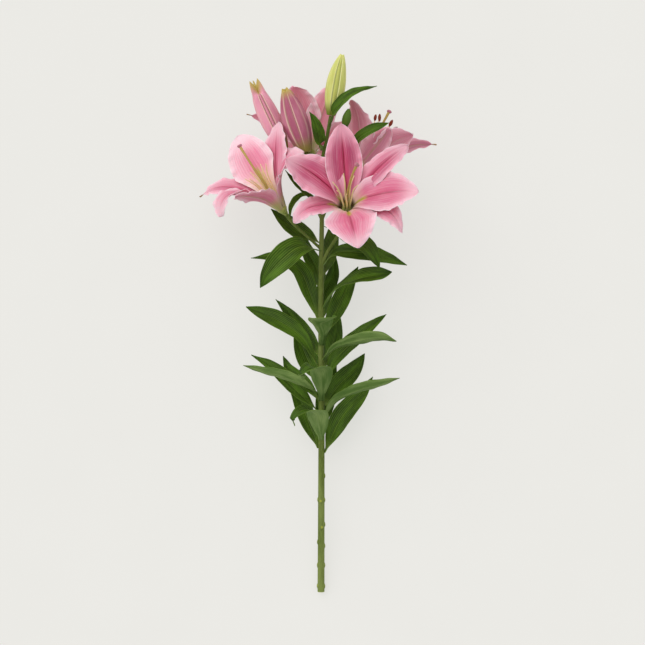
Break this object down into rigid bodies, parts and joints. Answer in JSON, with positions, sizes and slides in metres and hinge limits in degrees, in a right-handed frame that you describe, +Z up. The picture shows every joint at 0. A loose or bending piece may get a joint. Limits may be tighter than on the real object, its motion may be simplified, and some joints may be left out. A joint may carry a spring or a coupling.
{
  "type": "cut lily",
  "caption": "Cut oriental lily lying down: a leafy green stem with open pink blooms and closed buds at its head.",
  "frame": {"origin": "middle of the outline seen from above, on the table the cut lily lies on", "axes": "+Y from the cut end of the stem towards the blooms, +Z up from the table, +X to the right of the stem seen from above with the blooms away from the viewer"},
  "size_m": [0.3148, 0.6898, 0.1976],
  "materials": {
    "stem": "smooth living green stem, slightly waxy",
    "leaf": "satin dark green leaf, paler below",
    "petal": "soft velvety pink petal, white throat and magenta streaks",
    "stamen": "pale yellow green filament, dark red brown anther where it has one",
    "pistil": "smooth green style with a mauve brown stigma",
    "bud_pink": "matte ribbed pink bud",
    "bud_green": "matte ribbed yellow green bud"
  },
  "bodies": {
    "root": {"bloom_back_petals": "petal", "bloom_back_pistil": "pistil", "bloom_back_stamens": "stamen", "bloom_front_petals": "petal", "bloom_front_pistil": "pistil", "bloom_front_stamens": "stamen", "bloom_left_petals": "petal", "bloom_left_pistil": "pistil", "bloom_left_stamens": "stamen", "bloom_right_petals": "petal", "bloom_right_pistil": "pistil", "bloom_right_stamens": "stamen", "bract_1": "leaf", "bract_2": "leaf", "bract_3": "leaf", "bract_4": "leaf", "bract_5": "leaf", "bud_green": "bud_green", "bud_pink_1": "bud_pink", "bud_pink_2": "bud_pink", "bud_small": "bud_green", "leaf_01": "leaf", "leaf_02": "leaf", "leaf_03": "leaf", "leaf_04": "leaf", "leaf_05": "leaf", "leaf_06": "leaf", "leaf_07": "leaf", "leaf_08": "leaf", "leaf_09": "leaf", "leaf_10": "leaf", "leaf_11": "leaf", "leaf_12": "leaf", "leaf_13": "leaf", "leaf_14": "leaf", "leaf_15": "leaf", "leaf_16": "leaf", "leaf_17": "leaf", "leaf_18": "leaf", "leaf_19": "leaf", "leaf_20": "leaf", "leaf_21": "leaf", "leaf_22": "leaf", "leaf_23": "leaf", "leaf_24": "leaf", "leaf_25": "leaf", "leaf_26": "leaf", "leaf_27": "leaf", "stem": "stem"}
  },
  "joints": []
}
